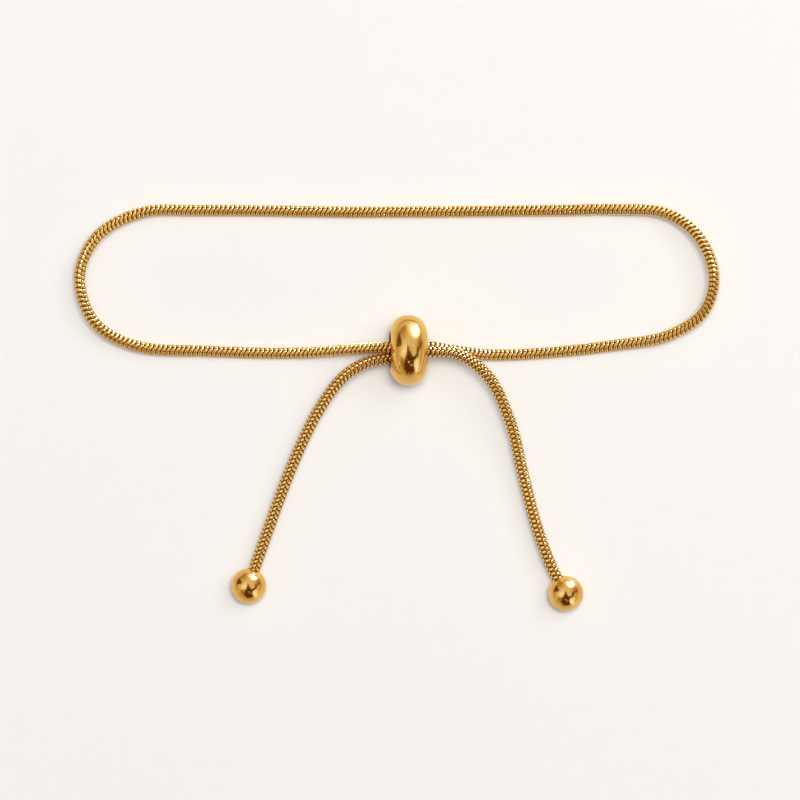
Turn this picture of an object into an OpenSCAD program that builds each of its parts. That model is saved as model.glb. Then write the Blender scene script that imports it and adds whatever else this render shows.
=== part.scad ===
// Adjustable slider bracelet, in millimetres.
// One snake chain makes a loop for the wrist. Both ends of the loop pass through a slider bead,
// hang out of it as two tails, and end in a ball each. The bracelet lies on the plane z = 0:
// x runs along the loop, y points from the tails to the back of the loop, and the origin is
// at the middle of the bracelet, on that plane.

/* [Chain] */
// Thickness of the snake chain
chain_d = 1.2; // [1.1:0.05:1.2]
// Room between the two strands inside the bead
strand_gap = 0.1; // [0.1:0.01:0.12]

/* [Slider bead] */
// Diameter of the bead
bead_d = 8; // [7.8:0.1:8.4]
// Width of the bead, along its hole
bead_w = 4.3; // [4.1:0.1:4.5]
// Diameter of the hole
hole_d = 3.1; // [3.1:0.05:3.3]
// Diameter of the wider mouth at each end of the hole
mouth_d = 4; // [3.8:0.1:4.2]
// Depth of each mouth
mouth_depth = 0.5; // [0.4:0.1:0.7]
// How full the shoulders are, where 2 is a plain ellipse
shoulder = 2.2; // [2:0.1:2.4]
// How far the bead leans, in degrees, with its left mouth tipped up
bead_lean = 3; // [0:1:3]

/* [End balls] */
// Diameter of each end ball
ball_d = 4; // [3.6:0.1:4.2]
// Distance from the end of the chain to the centre of its ball
grip = 0.8; // [0.7:0.1:0.9]
// Room round the chain in the ball's hole, and at the bottom of that hole
hole_room = 0.08; // [0.05:0.01:0.1]

/* [Hidden] */
gold = "#dfae57";
chain_gold = "#cf9c48";

chain_r = chain_d / 2;
bead_r = bead_d / 2;
hole_r = hole_d / 2;
mouth_r = mouth_d / 2;
ball_r = ball_d / 2;
bead_at = [1.35, 6.5, bead_r];

// The chain's cross-section has 8 sides, and there are 2 rings to each step of the route
sides = 8;
rings_per_step = 2;

// The two strands stand this far from the middle line between them inside the bead
strand_r = chain_r + strand_gap / 2;

// Height of the chain above lying on the floor, at the middle of a ball and of the bead
ball_lift = ball_r - chain_r;
bead_lift = bead_r - chain_r;

// A place inside the bead: how far along the hole, how far aside the middle line lies,
// how far round the pair has turned, and which strand it is (-1 goes under, 1 goes over)
function in_bead(along, aside, turn, strand) = [
    bead_at.x + along,
    bead_at.y + aside + strand * strand_r * cos(turn),
    bead_lift + strand * strand_r * sin(turn)
];

// The chain's route from the left ball to the right one.
// Columns: x, y, and how high the chain is lifted off the floor.
route = [
    [-16.6, -19.6, ball_lift],
    [-15.7, -17, ball_lift],
    [-11.7, -6.2, 1.5],
    [-8.9, -0.4, 1.9],
    [-6.1, 3.4, 2.6],
    [-3.4, 5.1, 3],
    in_bead(-2.15, -0.25, 28, -1),
    in_bead(0, 0, 70, -1),
    in_bead(2.15, 0.15, 112, -1),
    [6.5, 6.5, 1.9],
    [11, 6, 0.4],
    [18, 6.3, 0.1],
    [25, 7.1, 0.4],
    [31, 8.2, 1.1],
    [35, 10.9, 2.1],
    [36.1, 15, 2.5],
    [34.4, 19.4, 2.1],
    [30.8, 22.1, 1.2],
    [25, 22.6, 0.5],
    [18, 22.5, 0.2],
    [-4, 22.3, 0],
    [-22, 22.5, 0.2],
    [-29.2, 22.2, 0.7],
    [-34.1, 19.5, 1.4],
    [-36.1, 14.9, 1.9],
    [-34.5, 9.8, 1.6],
    [-30, 7.1, 0.9],
    [-21, 6.4, 0.2],
    [-12, 6.2, 0.2],
    [-5.3, 6.6, 2.2],
    in_bead(-2.15, -0.25, 28, 1),
    in_bead(0, 0, 70, 1),
    in_bead(2.15, 0.15, 112, 1),
    [7, 6.1, 3.9],
    [10.5, 3.4, 3.5],
    [13, -1.8, 2.6],
    [14.4, -7.5, 1.7],
    [16, -13.6, 1.5],
    [17.6, -18, ball_lift],
    [18.9, -20.5, ball_lift]
];
last = len(route) - 1;

function unit(v) = v / norm(v);

// The route's point i, with one more point past each end in line with the last two
function stop_at(i) =
    i < 0 ? 2 * route[0] - route[1] :
    i > last ? 2 * route[last] - route[last - 1] :
    route[i];

// Direction and speed of the curve at the middle one of three points, over a step of length d
function slope(before, here, after, d) =
    let (d_in = sqrt(norm(here - before)))
    let (d_out = sqrt(norm(after - here)))
    d * ((here - before) / d_in - (after - before) / (d_in + d_out) + (after - here) / d_out);

// Smooth curve through the route: point t of the way from stop i to the next one
function between(i, t) =
    let (a = stop_at(i))
    let (b = stop_at(i + 1))
    let (d = sqrt(norm(b - a)))
    let (leave = slope(stop_at(i - 1), a, b, d))
    let (arrive = slope(a, b, stop_at(i + 2), d))
    (2 * t ^ 3 - 3 * t ^ 2 + 1) * a + (t ^ 3 - 2 * t ^ 2 + t) * leave
        + (3 * t ^ 2 - 2 * t ^ 3) * b + (t ^ 3 - t ^ 2) * arrive;

// The chain's middle line
line = [
    for (i = [0 : last - 1], k = [0 : rings_per_step - 1])
        between(i, k / rings_per_step) + [0, 0, chain_r],
    route[last] + [0, 0, chain_r]
];
rings = len(line);

// The chain's ring i: a polygon square to the middle line, with one corner straight down
function ring(i) =
    let (ahead = unit(line[min(i + 1, rings - 1)] - line[max(i - 1, 0)]))
    let (aside = unit(cross(ahead, [0, 0, 1])))
    let (up = cross(aside, ahead))
    [for (k = [0 : sides - 1])
        line[i] + chain_r * (cos(360 * k / sides) * aside + sin(360 * k / sides) * up)];

// Corner k of ring i, and the four corners of side k between ring i and the next
function corner(i, k) = i * sides + k % sides;
function side_face(i, k) = [corner(i, k), corner(i, k + 1), corner(i + 1, k + 1), corner(i + 1, k)];

// The centre of the ball on the chain's end, with the chain's next stop inwards
function ball_centre(end, next) = end + grip * unit(end - next) + [0, 0, chain_r];

// Half of the bead's width at angle a round its section, and the distance from its axis there
function bead_side(a) = bead_w / 2 * sign(a) * abs(sin(a)) ^ (2 / shoulder);
function bead_out(a) = hole_r + (bead_r - hole_r) * cos(a) ^ (2 / shoulder);
mouth_angle = acos(((mouth_r - hole_r) / (bead_r - hole_r)) ^ (shoulder / 2));
section_steps = 32;

module snake_chain() {
    color(chain_gold)
        polyhedron(
            points = [for (i = [0 : rings - 1]) each ring(i)],
            faces = [
                [for (k = [sides - 1 : -1 : 0]) corner(0, k)],
                for (i = [0 : rings - 2], k = [0 : sides - 1]) side_face(i, k),
                [for (k = [0 : sides - 1]) corner(rings - 1, k)]
            ]
        );
}

module slider_bead() {
    hole_end = bead_w / 2 - mouth_depth;
    color(gold)
        translate(bead_at)
            rotate([0, 90 + bead_lean, 0])
                rotate_extrude($fn = 96)
                    polygon([
                        [hole_r, -hole_end],
                        for (k = [-section_steps : section_steps])
                            let (a = mouth_angle * k / section_steps)
                            [bead_out(a), bead_side(a)],
                        [hole_r, hole_end]
                    ]);
}

// A ball drilled towards the chain: end is the chain's end, and next its next stop inwards
module end_ball(end, next) {
    ahead = next - end;
    socket_bottom = grip - hole_room;
    color(gold)
        translate(ball_centre(end, next))
            difference() {
                sphere(r = ball_r, $fn = 96);
                rotate([0, 90, atan2(ahead.y, ahead.x)])
                    translate([0, 0, socket_bottom])
                        cylinder(r = chain_r + hole_room, h = ball_d, $fn = 48);
            }
}

module ball_left() {
    end_ball(route[0], route[1]);
}

module ball_right() {
    end_ball(route[last], route[last - 1]);
}

snake_chain();
slider_bead();
ball_left();
ball_right();
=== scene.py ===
import math

import bpy
import numpy as np
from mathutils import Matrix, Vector


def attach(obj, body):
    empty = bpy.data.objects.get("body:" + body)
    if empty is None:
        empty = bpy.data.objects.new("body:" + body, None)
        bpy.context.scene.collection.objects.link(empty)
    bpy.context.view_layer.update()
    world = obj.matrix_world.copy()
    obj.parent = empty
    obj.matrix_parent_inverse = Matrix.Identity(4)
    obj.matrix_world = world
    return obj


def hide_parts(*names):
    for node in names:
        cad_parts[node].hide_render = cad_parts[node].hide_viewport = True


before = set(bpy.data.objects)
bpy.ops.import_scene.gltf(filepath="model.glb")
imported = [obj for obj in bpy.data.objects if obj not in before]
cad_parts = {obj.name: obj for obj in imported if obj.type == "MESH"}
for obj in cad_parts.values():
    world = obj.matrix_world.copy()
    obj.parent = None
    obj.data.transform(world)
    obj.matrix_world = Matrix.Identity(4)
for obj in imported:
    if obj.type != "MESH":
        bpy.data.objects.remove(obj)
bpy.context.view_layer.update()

# The lie of the chain: one length of snake chain, fixed in the left ball, pulled through the slider
# bead, round the loop for the wrist, through the bead again and out to the right ball.
# The stops are those of the part's source, in millimetres: x, y and height above lying flat.
MM = 0.001
CHAIN_D = 1.2
STRAND_GAP = 0.1
BEAD_D = 8.0
BALL_D = 4.0
BEAD_AT = np.array([1.35, 6.5, BEAD_D / 2])
chain_r = CHAIN_D / 2
strand_r = chain_r + STRAND_GAP / 2
ball_lift = BALL_D / 2 - chain_r
bead_lift = BEAD_D / 2 - chain_r
LEFT_TAIL = [
    [-16.6, -19.6, ball_lift], [-15.7, -17, ball_lift], [-11.7, -6.2, 1.5],
    [-8.9, -0.4, 1.9], [-6.1, 3.4, 2.6], [-3.4, 5.1, 3],
]
LOOP = [
    [6.5, 6.5, 1.9], [11, 6, 0.4], [18, 6.3, 0.1], [25, 7.1, 0.4], [31, 8.2, 1.1],
    [35, 10.9, 2.1], [36.1, 15, 2.5], [34.4, 19.4, 2.1], [30.8, 22.1, 1.2], [25, 22.6, 0.5],
    [18, 22.5, 0.2], [-4, 22.3, 0], [-22, 22.5, 0.2], [-29.2, 22.2, 0.7], [-34.1, 19.5, 1.4],
    [-36.1, 14.9, 1.9], [-34.5, 9.8, 1.6], [-30, 7.1, 0.9], [-21, 6.4, 0.2], [-12, 6.2, 0.2],
    [-5.3, 6.6, 2.2],
]
RIGHT_TAIL = [
    [7, 6.1, 3.9], [10.5, 3.4, 3.5], [13, -1.8, 2.6], [14.4, -7.5, 1.7], [16, -13.6, 1.5],
    [17.6, -18, ball_lift], [18.9, -20.5, ball_lift],
]
# Inside the bead: millimetres along its hole and aside, and the turn of the pair in degrees
IN_BEAD = [(-2.15, -0.25, 28), (0, 0, 70), (2.15, 0.15, 112)]
STEPS_BETWEEN_STOPS = 24


def strand_in_bead(over):
    """The stops of one strand inside the bead: the one that goes under (-1) or over (1)."""
    return [
        [
            BEAD_AT[0] + along,
            BEAD_AT[1] + aside + over * strand_r * math.cos(math.radians(turn)),
            bead_lift + over * strand_r * math.sin(math.radians(turn)),
        ]
        for along, aside, turn in IN_BEAD
    ]


def slope(before, here, after, d):
    """Direction and speed of the curve at the middle one of three stops, for a step of length d."""
    d_in = math.sqrt(np.linalg.norm(here - before))
    d_out = math.sqrt(np.linalg.norm(after - here))
    both = (after - before) / (d_in + d_out)
    return d * ((here - before) / d_in - both + (after - here) / d_out)


def smooth_line(route):
    """The chain's middle line through all the stops of its route, in metres, as many points."""
    stops = np.vstack([2 * route[0] - route[1], route, 2 * route[-1] - route[-2]])
    points = []
    for before, a, b, after in zip(stops, stops[1:], stops[2:], stops[3:]):
        d = math.sqrt(np.linalg.norm(b - a))
        leave, arrive = slope(before, a, b, d), slope(a, b, after, d)
        for t in np.arange(STEPS_BETWEEN_STOPS) / STEPS_BETWEEN_STOPS:
            points.append(
                (2 * t**3 - 3 * t**2 + 1) * a + (t**3 - 2 * t**2 + t) * leave
                + (3 * t**2 - 2 * t**3) * b + (t**3 - t**2) * arrive
            )
    points.append(route[-1])
    return (np.array(points) + [0, 0, chain_r]) * MM


def along_line(values, at):
    """What the line's values are at these distances from the left end of the chain."""
    return np.stack([np.interp(at, run, values[:, k]) for k in range(3)], axis=-1)


def stand_on_line(at, out, turn):
    """Points this far along the chain, this far out from its middle, and at this angle round it."""
    middle, forward = along_line(line, at), along_line(ahead, at)
    aside = np.cross(forward, [0, 0, 1])
    aside /= np.linalg.norm(aside, axis=-1)[..., None]
    up = np.cross(aside, forward)
    radial = np.cos(turn)[..., None] * aside + np.sin(turn)[..., None] * up
    return middle + out[..., None] * radial


under_strand, over_strand = strand_in_bead(-1), strand_in_bead(1)
route = np.array(LEFT_TAIL + under_strand + LOOP + over_strand + RIGHT_TAIL)
line = smooth_line(route)
run = np.concatenate([[0], np.cumsum(np.linalg.norm(np.diff(line, axis=0), axis=1))])
chain_length = run[-1]
ahead = np.gradient(line, run, axis=0)
ahead /= np.linalg.norm(ahead, axis=1)[:, None]


# The links: snake chain is rings of thin brass strip, each bent to and fro as it goes round, folded
# into the next, plated with gold and polished. Eight rows of slanted lobes show round it, with slots
# between them whose walls are painted dark as painted shade. A plain core stands for the strip's
# folded legs, and is painted dark as painted shade too.
PITCH = 0.53
ROWS = 8
LOBE_R = 0.65
CORE_R = 0.43
CORE_SIDES = 12
SLOT = 0.08
ROW_FILL = 0.90
# A lobe is flat this far either side of its middle, then rounded off to its ends. It is a little
# lower and shorter at its sides, and its root is narrower than its crest.
FLAT = 0.06
END_R = 0.19
SIDE_SINK = 0.005
TAPER = 0.1
ROOT_R = 0.39
ROOT_SHARE = 0.94
LOBE_ALONG = [-1, -0.9, -0.76, -0.55, -0.28, 0.28, 0.55, 0.76, 0.9, 1]
LOBE_ROUND = [-1, -0.6, 0, 0.6, 1]
# Two kinds of rows take turns: half of their width in degrees, and how far their lobes slant along
# the chain, in pitches. The stagger, in pitches too, is how far each row is set on from the last:
# half a step in the tails, and less in the loop, where the lobes run on from one row to the next.
ROW_SPREADS = (26, 19)
TAIL_STAGGER = 0.5
TAIL_LEANS = (0.25, -0.15)
LOOP_STAGGER = 0.25
LOOP_LEANS = (0.56, -0.06)
# How far the chain is rolled about itself: millimetres from its left end, and degrees
ROLL = [
    (0, -33), (22, -33), (45, 0), (57, 6), (68, -10), (90, -10), (112, -8), (130, 0),
    (152, -2), (167, 6), (180, 0), (205, -20), (233, -18),
]

# The plating is not quite even, and wear has left hairlines and a faint haze, which show as changes
# of gloss more than of colour. Recesses are painted redder, as painted shade and painted reflection
# of gold on gold, and the walls of the slots and the core are dull and painted dark as painted
# shade.
CHAIN_GOLD = (0.98, 0.66, 0.21, 1)
CHAIN_GOLD_WARM = (0.94, 0.54, 0.13, 1)
CHAIN_GRAZING = (1, 1, 1, 1)
PAINTED_RECESS_SHADE = (0.80, 0.32, 0.04, 1)
PAINTED_SLOT_SHADE = (0.10, 0.022, 0.002, 1)
UNPOLISHED_ROUGH = 0.35
# At this much of the shade mask, from 0 to 1, the colour is all the redder painted recess shade
RECESS_AT = 0.3
# Painted shade and dullness start this deep below the crests, and grow to full over this much more
SHADE_AND_DULL_DEPTH = 0.06
SHADE_AND_DULL_FADE = 0.03
# Roughly how many patches, grains and hairlines end to end there are to the metre
PLATING_PATCHES = 260.0
HAZE_GRAIN = 5200.0
HAIRLINE_GRAIN = 900.0
# Hairlines are this much finer across than along, and lie two ways, which are turns in radians
HAIRLINE_STRETCH = (22.0, 1, 22.0)
HAIRLINE_TURNS = [(0.3, 0.5, 0.2), (1.2, 0.1, 1.5)]
HAIRLINE_WIDTH = 0.012
HAIRLINE_RELIEF = 0.6
RELIEF_STRENGTH = 0.12
RELIEF_DEPTH = 0.00002


class Wire:
    """One output of a node in a material. Arithmetic on wires adds Math nodes."""

    def __init__(self, tree, socket=None):
        self.tree = tree
        self.socket = socket

    def node(self, kind, settings, sockets, output=0):
        """Adds a node: its settings first, then values or wires for its sockets."""
        made = self.tree.nodes.new(kind)
        for name, value in settings.items():
            setattr(made, name, value)
        for name, value in sockets.items():
            if isinstance(value, Wire):
                self.tree.links.new(value.socket, made.inputs[name])
            else:
                made.inputs[name].default_value = value
        return Wire(self.tree, made.outputs[output] if len(made.outputs) else None)

    def math(self, operation, *values):
        """A Math node on values or wires."""
        return self.node("ShaderNodeMath", {"operation": operation}, dict(enumerate(values)))

    def blend(self, first, second):
        """The mix of two colours, this wire being the share of the second."""
        return self.node("ShaderNodeMix", {"data_type": "RGBA"}, {0: self, 6: first, 7: second}, 2)

    def between(self, low, high, at_low, at_high):
        """This wire eased from one value to another while it goes from low to high."""
        ease = {
            "Value": self, "From Min": low, "From Max": high, "To Min": at_low, "To Max": at_high,
        }
        return self.node("ShaderNodeMapRange", {"interpolation_type": "SMOOTHSTEP"}, ease)

    def __add__(self, other):
        return self.math("ADD", self, other)

    def __sub__(self, other):
        return self.math("SUBTRACT", self, other)

    def __rsub__(self, other):
        return self.math("SUBTRACT", other, self)

    def __mul__(self, other):
        return self.math("MULTIPLY", self, other)

    def __pow__(self, other):
        return self.math("POWER", self, other)

    __radd__ = __add__
    __rmul__ = __mul__


def new_material(name):
    """An empty material, with the wire that its nodes are added from."""
    material = bpy.data.materials.new(name)
    material.use_nodes = True
    material.node_tree.nodes.clear()
    return material, Wire(material.node_tree)


def show(start, **sockets):
    """Ends a material in one Principled shader with these sockets."""
    named = {name.replace("_", " "): value for name, value in sockets.items()}
    shader = start.node("ShaderNodeBsdfPrincipled", {}, named)
    start.node("ShaderNodeOutputMaterial", {}, {"Surface": shader})


def gold_finish(name, gold, warm, grazing, gloss, haze, hairlines):
    """Gold plate, clear to warm: its roughness where clean, and what haze and hairlines add."""
    material, start = new_material(name)
    place = start.node("ShaderNodeTexCoord", {}, {}, "Object")

    def noise(scale, detail=2, vector=place):
        sockets = {"Vector": vector, "Scale": scale, "Detail": detail}
        return start.node("ShaderNodeTexNoise", {}, sockets, "Fac")

    def lines(turn):
        """Hairlines: noise drawn out along one direction, of which a narrow band is kept."""
        laid = {"Vector": place, "Rotation": turn, "Scale": HAIRLINE_STRETCH}
        drawn_out = noise(HAIRLINE_GRAIN, vector=start.node("ShaderNodeMapping", {}, laid))
        return start.math("ABSOLUTE", drawn_out - 0.5).between(0.0, HAIRLINE_WIDTH, 1.0, 0.0)

    patches = noise(PLATING_PATCHES, detail=3)
    fine = noise(HAZE_GRAIN)
    scratched = start.math("MAXIMUM", *[lines(turn) for turn in HAIRLINE_TURNS])
    shade_and_dull = start.node("ShaderNodeAttribute", {"attribute_name": "painted_shade_and_dull"}, {}, "Fac")
    plated = patches.blend(gold, warm)
    # Painted shade: deeper points turn redder, then dark, standing in for shade and gold-on-gold
    # reflection
    deep = shade_and_dull.between(0.0, RECESS_AT, 0.0, 1.0).blend(plated, PAINTED_RECESS_SHADE)
    colour = shade_and_dull.between(RECESS_AT, 1.0, 0.0, 1.0).blend(deep, PAINTED_SLOT_SHADE)
    rough = gloss + haze * fine * patches + hairlines * scratched + UNPOLISHED_ROUGH * shade_and_dull
    relief = {
        "Strength": RELIEF_STRENGTH, "Distance": RELIEF_DEPTH,
        "Height": fine - HAIRLINE_RELIEF * scratched,
    }
    bump = start.node("ShaderNodeBump", {}, relief)
    show(
        start, Base_Color=colour, Metallic=1 - shade_and_dull, Roughness=rough, Normal=bump,
        Specular_Tint=grazing, Specular_IOR_Level=0.0,
    )
    return material


def add_piece(name, points, faces, shade_and_dull, material, node, walls=False):
    """A closed mesh in place of a node. The fourth argument tells, from 0 to 1, how much painted
    shade and dullness each point gets, and walls which faces are cut edges of the strip: flat, dull
    and all painted shade."""
    mesh = bpy.data.meshes.new(name)
    mesh.from_pydata(points.tolist(), [], faces)
    walls = np.broadcast_to(walls, len(faces))
    mesh.polygons.foreach_set("use_smooth", ~walls)
    mesh.materials.append(material)
    corners = np.concatenate([np.array(face) for face in faces])
    cut = np.repeat(walls, [len(face) for face in faces])
    mark = mesh.attributes.new("painted_shade_and_dull", "FLOAT", "CORNER")
    mark.data.foreach_set("value", np.clip(shade_and_dull[corners] + cut, 0, 1).astype(np.float32))
    piece = bpy.data.objects.new(name, mesh)
    bpy.context.scene.collection.objects.link(piece)
    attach(piece, "root")
    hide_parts(node)


def band_faces(rings, sides, ends=False):
    """Faces between neighbouring rings of points, with caps on the two ends if wanted."""
    faces = []
    for i in range(rings - 1):
        for k in range(sides):
            a, b = i * sides + k, i * sides + (k + 1) % sides
            faces.append([a, b, b + sides, a + sides])
    if ends:
        faces.append(list(range(sides))[::-1])
        faces.append([(rings - 1) * sides + k for k in range(sides)])
    return faces


def lobe_shape():
    """One lobe over -1..1 both ways: along, round, how far sunk, its faces and which are outer."""
    along, round_ = np.meshgrid(LOBE_ALONG, LOBE_ROUND, indexing="ij")
    rows, columns = along.shape
    past_flat = np.maximum((PITCH - SLOT) / 2 * np.abs(along) - FLAT, 0)
    sink = END_R - np.sqrt(END_R**2 - past_flat**2) + SIDE_SINK * round_**4
    faces = [
        [i * columns + k, i * columns + k + 1, (i + 1) * columns + k + 1, (i + 1) * columns + k]
        for i in range(rows - 1)
        for k in range(columns - 1)
    ]
    outer = len(faces)
    rim = list(range(columns))
    rim += [i * columns + columns - 1 for i in range(1, rows)]
    rim += [(rows - 1) * columns + k for k in range(columns - 2, -1, -1)]
    rim += [i * columns for i in range(rows - 2, 0, -1)]
    top = rows * columns
    for k in range(len(rim)):
        after = (k + 1) % len(rim)
        faces.append([rim[k], top + k, top + after, rim[after]])
    faces.append([top + k for k in range(len(rim))][::-1])
    along, round_ = along.ravel(), round_.ravel()
    root = np.full(len(rim), LOBE_R - ROOT_R)
    return (
        np.concatenate([along, along[rim] * ROOT_SHARE]),
        np.concatenate([round_, round_[rim] * ROOT_SHARE]),
        np.concatenate([sink.ravel(), root]),
        faces,
        np.arange(len(faces)) < outer,
    )


def link_run(name, at, stagger, leans):
    """A run of links at these distances along the chain, with the core inside them."""
    along, round_, sink, lobe_faces, outer = lobe_shape()
    row = np.arange(ROWS)
    half_row = np.radians(ROW_SPREADS)[row % 2]
    lean = np.array(leans)[row % 2]
    roll = np.radians(np.interp(at / MM, *zip(*ROLL)))
    half_lobe = (PITCH - SLOT) / 2
    where = (
        at[:, None, None]
        + ((row * stagger) % 1)[:, None] * PITCH * MM
        + (half_lobe * along * (1 - TAPER * round_**4) + PITCH * lean[:, None] / 2 * round_) * MM
    )
    where = np.clip(where, 0, chain_length)
    angle = (
        math.pi / 2 + roll[:, None, None] + (2 * math.pi * row / ROWS)[:, None]
        + half_row[:, None] * ROW_FILL * round_
    )
    angle = np.broadcast_to(angle, where.shape)
    out = np.broadcast_to((LOBE_R - sink) * MM, where.shape)
    lobes = stand_on_line(where, out, angle).reshape(-1, 3)
    faces = []
    for n in range(len(at) * ROWS):
        first = n * len(along)
        faces += [[v + first for v in face] for face in lobe_faces]
    core_turn = np.linspace(0, 2 * math.pi, CORE_SIDES, endpoint=False)
    core_where, core_angle = np.meshgrid(at, core_turn, indexing="ij")
    core = stand_on_line(core_where, np.full(core_where.shape, CORE_R * MM), core_angle)
    core_faces = band_faces(len(at), CORE_SIDES, True)
    faces += [[v + len(lobes) for v in face] for face in core_faces]
    walls = np.concatenate([np.tile(~outer, len(at) * ROWS), np.zeros(len(core_faces), bool)])
    # Painted shade grows on each lobe below its crest; the cut walls and the core are all painted
    # shade
    shade_and_dull = np.tile(np.clip((sink - SHADE_AND_DULL_DEPTH) / SHADE_AND_DULL_FADE, 0, 1), len(at) * ROWS)
    shade_and_dull = np.concatenate([shade_and_dull, np.ones(core_where.size)])
    points = np.vstack([lobes, core.reshape(-1, 3)])
    add_piece(name, points, faces, shade_and_dull, chain_finish, "snake_chain", walls)


chain_finish = gold_finish(
    "chain_gold", CHAIN_GOLD, CHAIN_GOLD_WARM, CHAIN_GRAZING, gloss=0.10, haze=0.08, hairlines=0.05
)
# At these two stops the chain passes the middle of the bead, where a run of links meets the next.
first_pass = len(LEFT_TAIL) + 1
second_pass = first_pass + len(under_strand) + len(LOOP)
bead_middle = [run[stop * STEPS_BETWEEN_STOPS] for stop in (first_pass, second_pass)]
loop_middle = sum(bead_middle) / 2
links = round(chain_length / (PITCH * MM))
link_at = (np.arange(links) + 0.5) * chain_length / links
# The links stand a little prouder than the solid chain. Where it lies on the table, they are
# lifted so that their crests don't sink in.
line[:, 2] = np.maximum(line[:, 2], LOBE_R * MM)
right_half = (link_at > bead_middle[0]) & (link_at < loop_middle)
left_half = (link_at > loop_middle) & (link_at < bead_middle[1])
link_run("left_tail_links", link_at[link_at < bead_middle[0]], TAIL_STAGGER, TAIL_LEANS)
link_run("right_loop_links", link_at[right_half], LOOP_STAGGER, LOOP_LEANS)
link_run("left_loop_links", link_at[left_half], LOOP_STAGGER, LOOP_LEANS)
link_run("right_tail_links", link_at[link_at > bead_middle[1]], TAIL_STAGGER, TAIL_LEANS)


# The slider bead: a thick ring turned from brass, with full shoulders and a mouth countersunk at
# each end of its hole, plated with a deeper gold and polished like a mirror. Its hole and the first
# rings of each mouth are dull and painted dark as painted shade.
# It grips both strands, and leans a little with its left mouth tipped up.
BEAD_W = 4.3
HOLE_D = 3.1
MOUTH_D = 4.0
MOUTH_DEPTH = 0.5
MOUTH_RINGS = 2
# The power of the shoulders' outline: 2 would be round, and more is fuller
SHOULDER = 2.2
BEAD_LEAN = 3.0
BEAD_ROUND = 160
SHOULDER_STEPS = 64
HOLE_RINGS = 9
GOLD = (0.80, 0.50, 0.15, 1)
GOLD_WARM = (0.77, 0.44, 0.11, 1)
GRAZING_TINT = (1.0, 0.9, 0.7, 1)


def turned(profile, sides, centre, axis):
    """Points of a piece turned about an axis, from a row of (along, out) in millimetres."""
    axis = Vector(axis).normalized()
    aside = axis.orthogonal().normalized()
    up = axis.cross(aside)
    turn = np.linspace(0, 2 * math.pi, sides, endpoint=False)
    rim = np.outer(np.cos(turn), aside) + np.outer(np.sin(turn), up)
    along, out = np.array(profile).T[:, :, None, None]
    return (np.array(centre) + along * np.array(axis) + out * rim).reshape(-1, 3) * MM


hole_r, bead_r, mouth_r = HOLE_D / 2, BEAD_D / 2, MOUTH_D / 2
mouth_angle = math.acos(((mouth_r - hole_r) / (bead_r - hole_r)) ** (SHOULDER / 2))
shoulder = []
for a in np.linspace(-mouth_angle, mouth_angle, SHOULDER_STEPS + 1):
    along = BEAD_W / 2 * math.copysign(abs(math.sin(a)) ** (2 / SHOULDER), a)
    shoulder.append([along, hole_r + (bead_r - hole_r) * math.cos(a) ** (2 / SHOULDER)])
hole_end = BEAD_W / 2 - MOUTH_DEPTH
hole = [[along, hole_r] for along in np.linspace(hole_end, -hole_end, HOLE_RINGS)]
bead_rings = len(shoulder + hole)
bead_faces = band_faces(bead_rings, BEAD_ROUND)
for k in range(BEAD_ROUND):
    last, after = (bead_rings - 1) * BEAD_ROUND, (k + 1) % BEAD_ROUND
    bead_faces.append([last + k, last + after, after, k])
# The first rings of each mouth and the whole hole are dull and painted dark as painted shade
mouth_shade = [1] * MOUTH_RINGS
bead_shade_and_dull = mouth_shade + [0] * (len(shoulder) - 2 * MOUTH_RINGS) + mouth_shade + [1] * len(hole)
bead_axis = (-math.cos(math.radians(BEAD_LEAN)), 0, math.sin(math.radians(BEAD_LEAN)))
polish = gold_finish(
    "polished_gold", GOLD, GOLD_WARM, GRAZING_TINT, gloss=0.025, haze=0.05, hairlines=0.05
)
add_piece(
    "polished_bead", turned(shoulder + hole, BEAD_ROUND, BEAD_AT, bead_axis), bead_faces,
    np.repeat(bead_shade_and_dull, BEAD_ROUND), polish, "slider_bead",
)


# The end balls: each is a brass ball with the bead's finish, drilled on the side that faces the
# chain, with the chain's end fixed in the drilling. They rest on the table and keep the bead on.
BALL_ROUND = 128
BALL_STEPS = 72
# How far short of the ball's centre the chain's end stops, and the room round it in the drilling
GRIP = 0.8
HOLE_ROOM = 0.08
# The small caps reach this far: in radians at the ball's far pole, in millimetres in the drilling
NEAR_AXIS = 0.02


def end_ball(name, end, inwards, node):
    """The ball on one end of the chain. inwards is the next stop of the chain's route."""
    way = (end - inwards) / np.linalg.norm(end - inwards)
    centre = end + GRIP * way + [0, 0, chain_r]
    drill_r, ball_r = chain_r + HOLE_ROOM, BALL_D / 2
    mouth = math.asin(drill_r / ball_r)
    arc = [
        [-ball_r * math.cos(a), ball_r * math.sin(a)]
        for a in np.linspace(mouth, math.pi - NEAR_AXIS, BALL_STEPS)
    ]
    drilling = [[HOLE_ROOM - GRIP, NEAR_AXIS], [HOLE_ROOM - GRIP, drill_r]]
    points = turned(drilling + arc, BALL_ROUND, centre, way)
    faces = band_faces(len(drilling + arc), BALL_ROUND, True)
    # The drilling is dull and painted dark as painted shade
    shade_and_dull = np.repeat([1] * len(drilling) + [0] * len(arc), BALL_ROUND)
    add_piece(name, points, faces, shade_and_dull, polish, node)


end_ball("polished_ball_left", route[0], route[1], "ball_left")
end_ball("polished_ball_right", route[-1], route[-2], "ball_right")


# The table: one flat sheet of pale, slightly warm card with a satin coat, which the bracelet lies
# on. It reaches out to the walls of the room that the gold mirrors.
TABLE_SIZE = 3.0
CARD_COLOUR = (0.82, 0.795, 0.752, 1)
CARD_ROUGH = 0.45
CARD_GLOSS = 1.0
SATIN_COAT = {"Coat_Weight": 1.0, "Coat_Roughness": 0.4, "Coat_IOR": 1.8}


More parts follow.
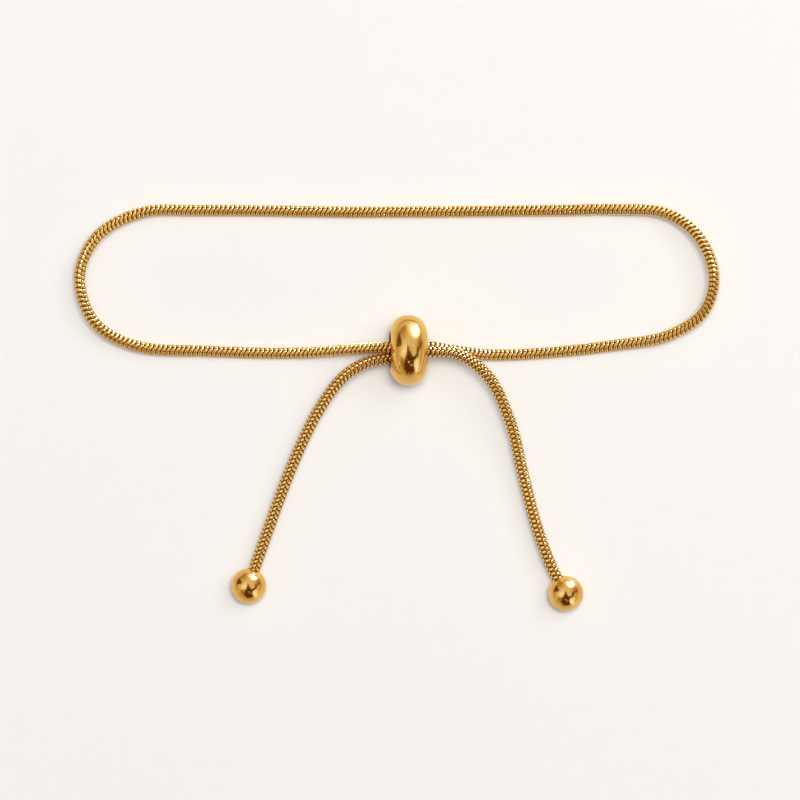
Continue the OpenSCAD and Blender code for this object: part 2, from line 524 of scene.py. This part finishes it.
def stand_up(name, corners, faces, material):
    """A plain thing of the stage, which is not part of the bracelet."""
    mesh = bpy.data.meshes.new(name)
    mesh.from_pydata(corners, [], faces)
    mesh.materials.append(material)
    thing = bpy.data.objects.new(name, mesh)
    bpy.context.scene.collection.objects.link(thing)
    return thing


pale_card, start = new_material("pale_card")
show(
    start, Base_Color=CARD_COLOUR, Roughness=CARD_ROUGH, Specular_IOR_Level=CARD_GLOSS, **SATIN_COAT
)
side = TABLE_SIZE / 2
stand_up(
    "table_card", [(-side, -side, 0), (side, -side, 0), (side, side, 0), (-side, side, 0)],
    [(0, 1, 2, 3)], pale_card,
)


# The surroundings: the room that the gold mirrors, with a softbox beyond the upper right, dim things
# to the left and a dark camera stand in front, and two lamps that light the table and throw the
# shadows. Azimuths turn from right to back, and elevations rise from the table, both in degrees.
ROOM_LIGHT = (0.132, 0.14, 0.148, 1)
ROOM_R = 1.5
DOME_ACROSS = 48
DOME_RISE = 16
DOME_DIP = 1
DIM_AT_TABLE = 0.55
BRIGHT_OVERHEAD = 0.88
# The sine of the elevation from which the room is as bright as overhead
BRIGHT_FROM = 0.8
ROOM_GRAIN = 4.5
ROOM_DETAIL = 6
ROOM_UNEVEN = 0.7
# Soft things: azimuth, elevation, the angles from there where they start to fade and where they
# end, and what they add to the room's brightness
SOFT_THINGS = [
    ("tube of the softbox", 59, 4, 0, 7, 180.0),
    ("softbox", 59, 5, 1, 11, 3.5),
    ("haze round the softbox", 60, 7, 4, 32, 1.3),
    ("glow round the softbox", 66, 8, 8, 40, 0.85),
    ("glow over the softbox", 62, 27, 2, 20, 1.5),
    ("bright ceiling", 165, 68, 4, 20, 0.4),
    ("bright cornice", 196, 52, 4, 20, 0.4),
    ("pale wall", -46, 22, 8, 24, 0.5),
    ("dim wall", 122, 5, 6, 24, -0.25),
    ("dim corner", 10, 40, 4, 22, -0.2),
    ("dark coat rack", -132, 36, 8, 24, -0.5),
    ("dim ceiling", 120, 85, 2, 14, -0.3),
]
# Flat things: distance in metres, brightness, and the azimuth and elevation of each corner
FLAT_THINGS = [
    ("stand_head", 1.3, 0.04, [(112, 71), (-45, 76), (-52, 48), (-125, 50), (-138, 74)]),
    ("stand_body", 1.3, 0.04, [(-52, 48), (-64, 31), (-67, 0), (-113, 0), (-120, 27), (-125, 50)]),
    ("stand_foot_left", 0.7, 0.42, [(-116, 0), (-116, 19), (-103, 14), (-97, 0)]),
    ("stand_foot_middle", 0.7, 0.34, [(-94, 0), (-92, 12), (-87, 12), (-86, 0)]),
    ("stand_foot_right", 0.7, 0.36, [(-82, 0), (-80, 9), (-68, 9), (-64, 0)]),
    ("stand_knob", 0.7, 1.3, [(-95, 54), (-86, 54), (-86, 48), (-95, 48)]),
    ("stand_lever", 0.7, 0.9, [(-82, 43), (-72, 41), (-74, 35), (-82, 37)]),
    ("boom_near", 1.1, 0.04, [(-66, 64), (-22, 50), (-20, 37), (-64, 48)]),
    ("boom_far", 1.1, 0.06, [(-25, 50), (12, 44), (10, 29), (-25, 35)]),
    ("boom_end", 1.1, 0.2, [(6, 42), (24, 18), (24, 2), (10, 2), (2, 24)]),
    ("screen", 1.3, 0.5, [(3, 50), (38, 31), (38, -0.5), (3, -0.5)]),
    ("stool", 1.2, 0.08, [(139, 10), (148, 38), (166, 38), (174, 6), (172, -0.5), (139, -0.5)]),
    ("skirting", 1.3, 0.12, [(136, -0.5), (136, 3), (180, 3), (228, 3), (228, -0.5), (180, -0.5)]),
    ("slat_near", 1.2, 0.36, [(100, 8), (105, 42), (110, 44), (104, 8)]),
    ("slat_middle", 1.2, 0.3, [(111, 6), (120, 48), (127, 48), (117, 6)]),
    ("slat_far", 1.2, 0.36, [(124, 6), (134, 40), (139, 36), (130, 4)]),
    ("lamp_streak", 1.2, 1.3, [(-158, 10), (-143, 13), (-143, 8), (-158, 5)]),
    ("door", 1.3, 1.5, [(-60, 41), (-34, 34), (-50, 0), (-63, 0)]),
]
FLAT_GRAIN = 13.5
FLAT_UNEVEN = 0.8
DARKEST = 0.02
# Dim things look warm and bright ones cool, as on film: the powers and limits of red and blue
RED_POWER, RED_LEAST = 0.65, 0.66
BLUE_POWER, BLUE_GAIN, BLUE_MOST = 1.85, 1.05, 1.8
# Lamps: azimuth, elevation, distance and size in metres, and watts
LAMPS = [
    ("window_light", 34, 58, 1.2, 0.85, 4.6),
    ("ceiling_light", 60, 84, 1.3, 0.4, 14.2),
]


def direction(azimuth, elevation):
    """The way towards this azimuth and elevation, as a vector of length one."""
    a, e = math.radians(azimuth), math.radians(elevation)
    return Vector((math.cos(a) * math.cos(e), math.sin(a) * math.cos(e), math.sin(e)))


def nearness(towards, azimuth, elevation):
    """The cosine of the angle between a direction and a fixed one."""
    both = {0: towards, 1: tuple(direction(azimuth, elevation))}
    return towards.node("ShaderNodeVectorMath", {"operation": "DOT_PRODUCT"}, both, "Value")


def patchy(level, grain, uneven):
    """A level that varies about itself by this share, as the grain does."""
    return level * (1 - uneven / 2 + uneven * grain)


def show_level(material, level):
    """Ends a material that glows at this level and lights nothing but what mirrors it."""
    level = level.math("MAXIMUM", level, DARKEST)
    red = level.math("MAXIMUM", level**RED_POWER, RED_LEAST * level)
    blue = level.math("MINIMUM", BLUE_GAIN * level**BLUE_POWER, BLUE_MOST * level)
    tones = {"Red": red, "Green": level, "Blue": blue}
    glow = level.node("ShaderNodeCombineColor", {}, tones)
    show(
        level, Base_Color=(0, 0, 0, 1), Specular_IOR_Level=0.0, Emission_Color=glow,
        Emission_Strength=1.0,
    )
    material.cycles.emission_sampling = "NONE"


def only_mirrored(thing):
    """Hides a thing from the camera, from diffuse light and from shadows: only gloss shows it."""
    thing.visible_camera = False
    thing.visible_diffuse = False
    thing.visible_shadow = False


room, start = new_material("room")
place = start.node("ShaderNodeTexCoord", {}, {}, "Object")
towards = start.node("ShaderNodeVectorMath", {"operation": "NORMALIZE"}, {0: place})
room_noise = {"Vector": place, "Scale": ROOM_GRAIN, "Detail": ROOM_DETAIL}
grain = start.node("ShaderNodeTexNoise", {}, room_noise, "Fac")
level = nearness(towards, 0, 90).between(0.0, BRIGHT_FROM, DIM_AT_TABLE, BRIGHT_OVERHEAD)
for _, azimuth, elevation, fade, edge, gain in SOFT_THINGS:
    low, high = math.cos(math.radians(edge)), math.cos(math.radians(fade))
    level = level + nearness(towards, azimuth, elevation).between(low, high, 0.0, gain)
show_level(room, patchy(level, grain, ROOM_UNEVEN))
dome = [
    direction(360 * i / DOME_ACROSS, 90 * k / DOME_RISE - DOME_DIP) * ROOM_R
    for k in range(DOME_RISE)
    for i in range(DOME_ACROSS)
]
dome_walls = band_faces(DOME_RISE, DOME_ACROSS)
only_mirrored(stand_up("room_dome", dome, dome_walls, room))
only_mirrored(stand_up("room_ceiling", dome[-DOME_ACROSS:], [range(DOME_ACROSS)], room))

for name, distance, level, corners in FLAT_THINGS:
    material, start = new_material(name)
    grain = start.node("ShaderNodeTexNoise", {}, {"Scale": FLAT_GRAIN}, "Fac")
    show_level(material, patchy(level, grain, FLAT_UNEVEN))
    corners = [direction(*corner) * distance for corner in corners]
    only_mirrored(stand_up(name, corners, [range(len(corners))], material))

for name, azimuth, elevation, distance, size, power in LAMPS:
    lamp = bpy.data.lights.new(name, "AREA")
    lamp.shape = "SQUARE"
    lamp.size = size
    lamp.energy = power
    holder = bpy.data.objects.new(name, lamp)
    holder.location = direction(azimuth, elevation) * distance
    holder.rotation_euler = (-holder.location).to_track_quat("-Z", "Y").to_euler()
    holder.visible_glossy = False
    holder.visible_camera = False
    bpy.context.scene.collection.objects.link(holder)

world = bpy.data.worlds.new("room_light")
world.use_nodes = True
world.node_tree.nodes["Background"].inputs["Color"].default_value = ROOM_LIGHT
bpy.context.scene.world = world
world.cycles_visibility.glossy = False
bpy.context.scene.view_settings.view_transform = "Standard"


# The camera looks straight down on the bracelet, as in the photo. Its place is in millimetres, and
# the field is the width in millimetres that the picture shows at the table.
CAMERA_AT = (0.38, 0.83, 700.0)
FIELD = 91.43
SEES_FROM, SEES_TO = 0.01, 10
lens = bpy.data.cameras.new("camera")
lens.lens = lens.sensor_width * CAMERA_AT[2] / FIELD
lens.clip_start, lens.clip_end = SEES_FROM, SEES_TO
camera = bpy.data.objects.new("camera", lens)
camera.location = Vector(CAMERA_AT) * MM
bpy.context.scene.collection.objects.link(camera)
bpy.context.scene.camera = camera
